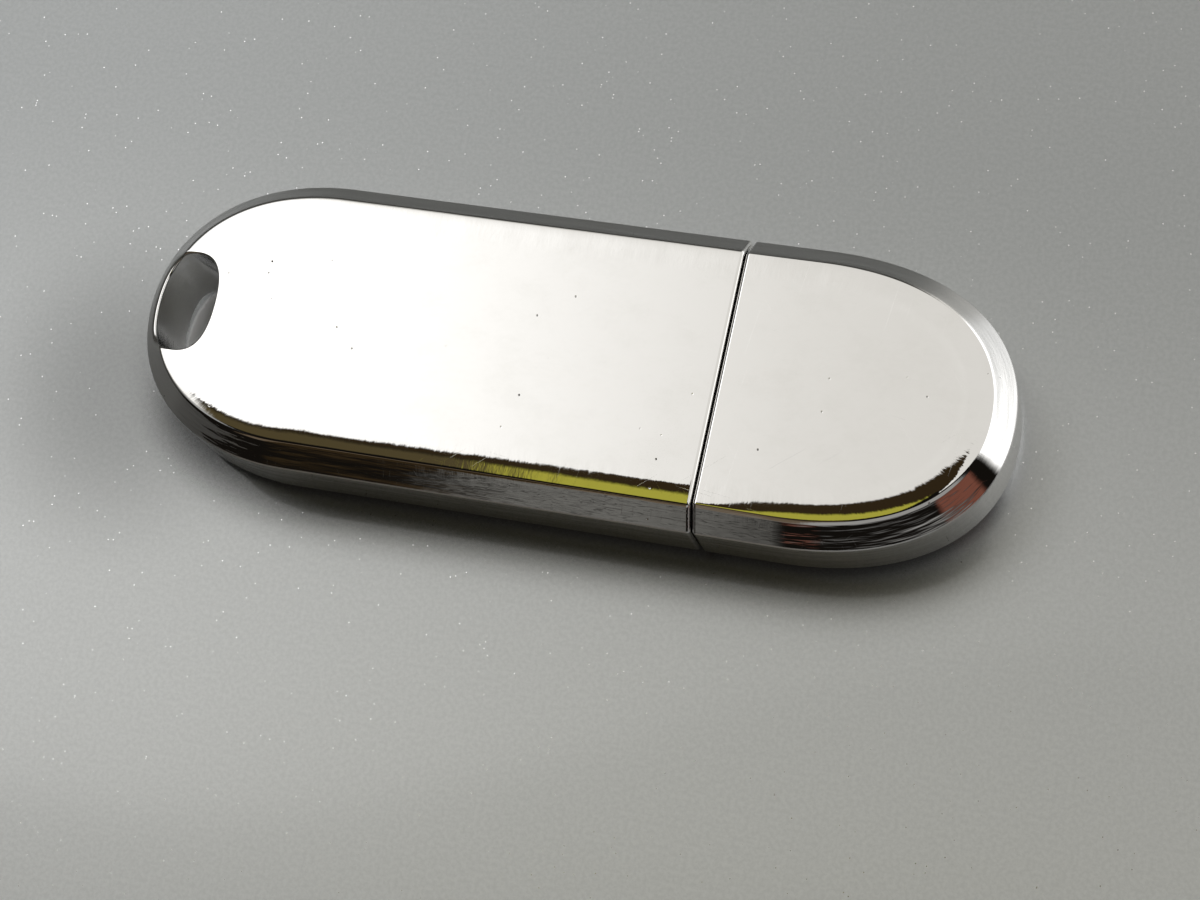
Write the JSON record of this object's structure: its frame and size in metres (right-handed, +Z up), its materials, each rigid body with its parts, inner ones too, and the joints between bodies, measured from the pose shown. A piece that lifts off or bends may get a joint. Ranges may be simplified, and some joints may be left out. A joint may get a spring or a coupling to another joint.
{
  "type": "usb flash drive",
  "caption": "Bevelled pill-shaped flash drive in chromed metal, with a pull-off cap over its USB plug and an oval key-ring hole.",
  "frame": {"origin": "under the middle of the capped drive, on the flat underside that it rests on", "axes": "+X along the drive from the key-ring end to the cap's nose, +Y across its width, +Z up through its thickness"},
  "size_m": [0.0588, 0.02, 0.0074],
  "materials": {
    "chrome_plate": "mirror polished, with fine scratches and a few pits",
    "black_plastic": "fine moulded satin",
    "board_laminate": "green solder mask over copper tracks",
    "plug_steel": "nickel-plated stamped sheet",
    "plug_plastic": "moulded satin",
    "contact_gold": "thin gold plate, lightly wiped",
    "chip_resin": "fine moulded resin",
    "lead_tin": "matt tin plate",
    "crystal_ceramic": "matt fired ceramic",
    "crystal_metal": "satin nickel",
    "capacitor_body": "fired ceramic with tinned ends",
    "ferrite_body": "dark ferrite with tinned ends",
    "resistor_body": "glazed black film with tinned ends",
    "solder": "bright solder"
  },
  "bodies": {
    "body": {"body_shell": "chrome_plate", "inner_case_lower": "black_plastic", "inner_case_upper": "black_plastic", "circuit_board": "board_laminate", "usb_shell": "plug_steel", "usb_insulator": "plug_plastic", "contact_vbus": "contact_gold", "contact_data_minus": "contact_gold", "contact_data_plus": "contact_gold", "contact_ground": "contact_gold", "memory_chip": "chip_resin", "memory_leads": "lead_tin", "controller_chip": "chip_resin", "controller_leads": "lead_tin", "regulator_chip": "chip_resin", "regulator_leads": "lead_tin", "crystal_base": "crystal_ceramic", "crystal_lid": "crystal_metal", "capacitor_bulk": "capacitor_body", "capacitor_controller_1": "capacitor_body", "capacitor_controller_2": "capacitor_body", "capacitor_crystal_1": "capacitor_body", "capacitor_crystal_2": "capacitor_body", "capacitor_regulator": "capacitor_body", "ferrite_bead": "ferrite_body", "resistor_data_minus": "resistor_body", "resistor_data_plus": "resistor_body", "resistor_pull_up": "resistor_body", "resistor_reset": "resistor_body", "solder_joints": "solder"},
    "cap": {"cap_shell": "chrome_plate", "cap_liner": "black_plastic"}
  },
  "joints": [
    {"name": "cap_slide", "type": "slide", "parent": "body", "child": "cap", "axis": [1, 0, 0], "range_m": [0, 0.02]}
  ]
}
